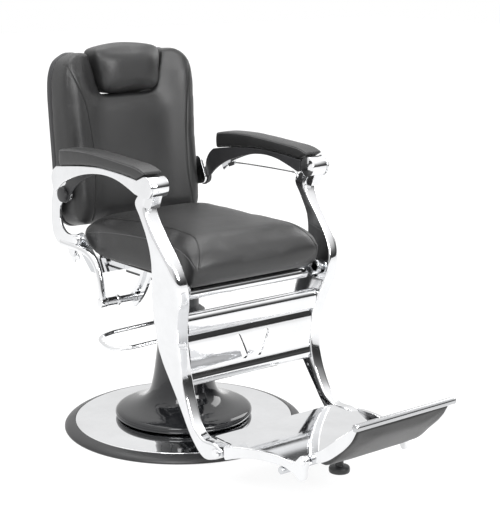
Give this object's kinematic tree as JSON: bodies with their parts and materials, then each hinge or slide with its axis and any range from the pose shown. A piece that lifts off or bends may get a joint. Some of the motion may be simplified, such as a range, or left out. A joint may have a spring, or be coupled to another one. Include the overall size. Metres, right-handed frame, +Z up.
{
  "type": "hydraulic barber chair",
  "caption": "Upholstered barber chair on a round pump pedestal, with reclining back, linked arms and legs, sliding headrest and flip-over foot plate.",
  "frame": {"origin": "middle of the round base on the floor, on the swivel axis", "axes": "+Z up; the sitter faces -Y, so the foot rest is on -Y and the back on +Y; +X is the sitter's left"},
  "size_m": [0.65, 1.1867, 1.0139],
  "materials": {
    "chrome": "polished, mirror bright",
    "cast_chrome": "polished castings, slightly wavy",
    "steel": "plain machined steel",
    "dark_steel": "dark satin paint",
    "dark_gloss": "dark grey gloss",
    "vinyl": "black upholstery vinyl, fine grain",
    "rubber": "matt black",
    "board": "plywood",
    "hard_plastic": "black, fine texture"
  },
  "bodies": {
    "base": {"base_plate": "dark_steel", "floor_ring": "rubber", "base_cover": "chrome", "bell_shroud": "dark_gloss", "pump_cylinder": "steel", "pump_head": "dark_gloss"},
    "pump_lever": {"pump_lever_shaft": "steel", "pump_lever_loop": "chrome"},
    "ram": {"piston_ram": "steel"},
    "seat": {"swivel_hub": "dark_steel", "mount_plate": "dark_steel", "seat_rail_R": "dark_steel", "seat_rail_L": "dark_steel", "seat_beam_front": "dark_steel", "seat_beam_rear": "dark_steel", "seat_pan": "board", "seat_cushion": "vinyl", "front_trim": "chrome", "leg_bracket_R": "steel", "leg_bracket_L": "steel", "leg_pin_R": "steel", "leg_pin_L": "steel", "back_bracket_R": "steel", "back_bracket_L": "steel"},
    "back": {"back_cushion": "vinyl", "back_cross_tube": "steel", "back_board": "board", "back_shell": "hard_plastic", "headrest_guide": "steel", "back_lever_R": "cast_chrome", "back_lever_L": "cast_chrome", "lock_shaft_R": "chrome", "lock_shaft_L": "chrome"},
    "headrest": {"headrest_cushion": "vinyl", "headrest_bar": "steel"},
    "arm_R": {"arm_casting_R": "cast_chrome", "arm_cover_R": "hard_plastic", "arm_pad_R": "vinyl"},
    "arm_L": {"arm_casting_L": "cast_chrome", "arm_cover_L": "hard_plastic", "arm_pad_L": "vinyl"},
    "release": {"release_rod": "chrome"},
    "lock_wing": {"lock_wing": "chrome"},
    "legs": {"leg_R": "cast_chrome", "leg_L": "cast_chrome", "calf_panel": "chrome", "foot_rail_R": "cast_chrome", "foot_rail_L": "cast_chrome", "rear_cross_tube": "steel", "front_cross_tube": "steel", "hinge_rod": "chrome", "tread_plate": "chrome", "bumper": "rubber"},
    "flip": {"flip_plate": "chrome", "flip_side_R": "cast_chrome", "flip_side_L": "cast_chrome", "flip_pad": "vinyl", "flip_bar": "chrome"}
  },
  "joints": [
    {"name": "lift", "type": "slide", "parent": "base", "child": "ram", "axis": [0, 0, 1], "range_m": [0, 0.15]},
    {"name": "swivel", "type": "hinge", "parent": "ram", "child": "seat", "pos_m": [0, 0, 0.3], "axis": [0, 0, 1], "continuous": true},
    {"name": "pump", "type": "hinge", "parent": "base", "child": "pump_lever", "pos_m": [-0.04236, 0.01191, 0.27], "axis": [-0.2706, -0.9627, 0], "range_deg": [0, 25], "stiffness_Nm_per_rad": 20, "springref_deg": -20.05},
    {"name": "recline", "type": "hinge", "parent": "seat", "child": "back", "pos_m": [0, 0.165, 0.514], "axis": [-1, 0, 0], "range_deg": [0, 30]},
    {"name": "leg_swing", "type": "hinge", "parent": "seat", "child": "legs", "pos_m": [0, -0.305, 0.464], "axis": [-1, 0, 0], "range_deg": [0, 13.7]},
    {"name": "arm_R_level", "type": "hinge", "parent": "back", "child": "arm_R", "pos_m": [-0.235, 0.209, 0.632], "axis": [-1, 0, 0], "range_deg": [-28.2, 0]},
    {"name": "arm_L_level", "type": "hinge", "parent": "back", "child": "arm_L", "pos_m": [0.235, 0.209, 0.632], "axis": [-1, 0, 0], "range_deg": [-28.2, 0]},
    {"name": "headrest_slide", "type": "slide", "parent": "back", "child": "headrest", "axis": [0, 0.0872, 0.9962], "range_m": [0, 0.1]},
    {"name": "foot_flip", "type": "hinge", "parent": "legs", "child": "flip", "pos_m": [0, -0.692, 0.133], "axis": [-1, 0, 0], "range_deg": [0, 140]},
    {"name": "release_pull", "type": "slide", "parent": "arm_L", "child": "release", "axis": [0, -1, 0], "range_m": [0, 0.008], "stiffness_N_per_m": 400, "springref_m": -0.01},
    {"name": "wing_turn", "type": "hinge", "parent": "back", "child": "lock_wing", "pos_m": [-0.216, 0.192, 0.474], "axis": [1, 0, 0], "range_deg": [0, 30], "stiffness_Nm_per_rad": 0.4, "springref_deg": -22.92}
  ],
  "couplings": [
    {"joint": "leg_swing", "follows": "recline", "ratio": 0.456},
    {"joint": "arm_R_level", "follows": "recline", "ratio": -0.9391},
    {"joint": "arm_L_level", "follows": "recline", "ratio": -0.9391}
  ]
}
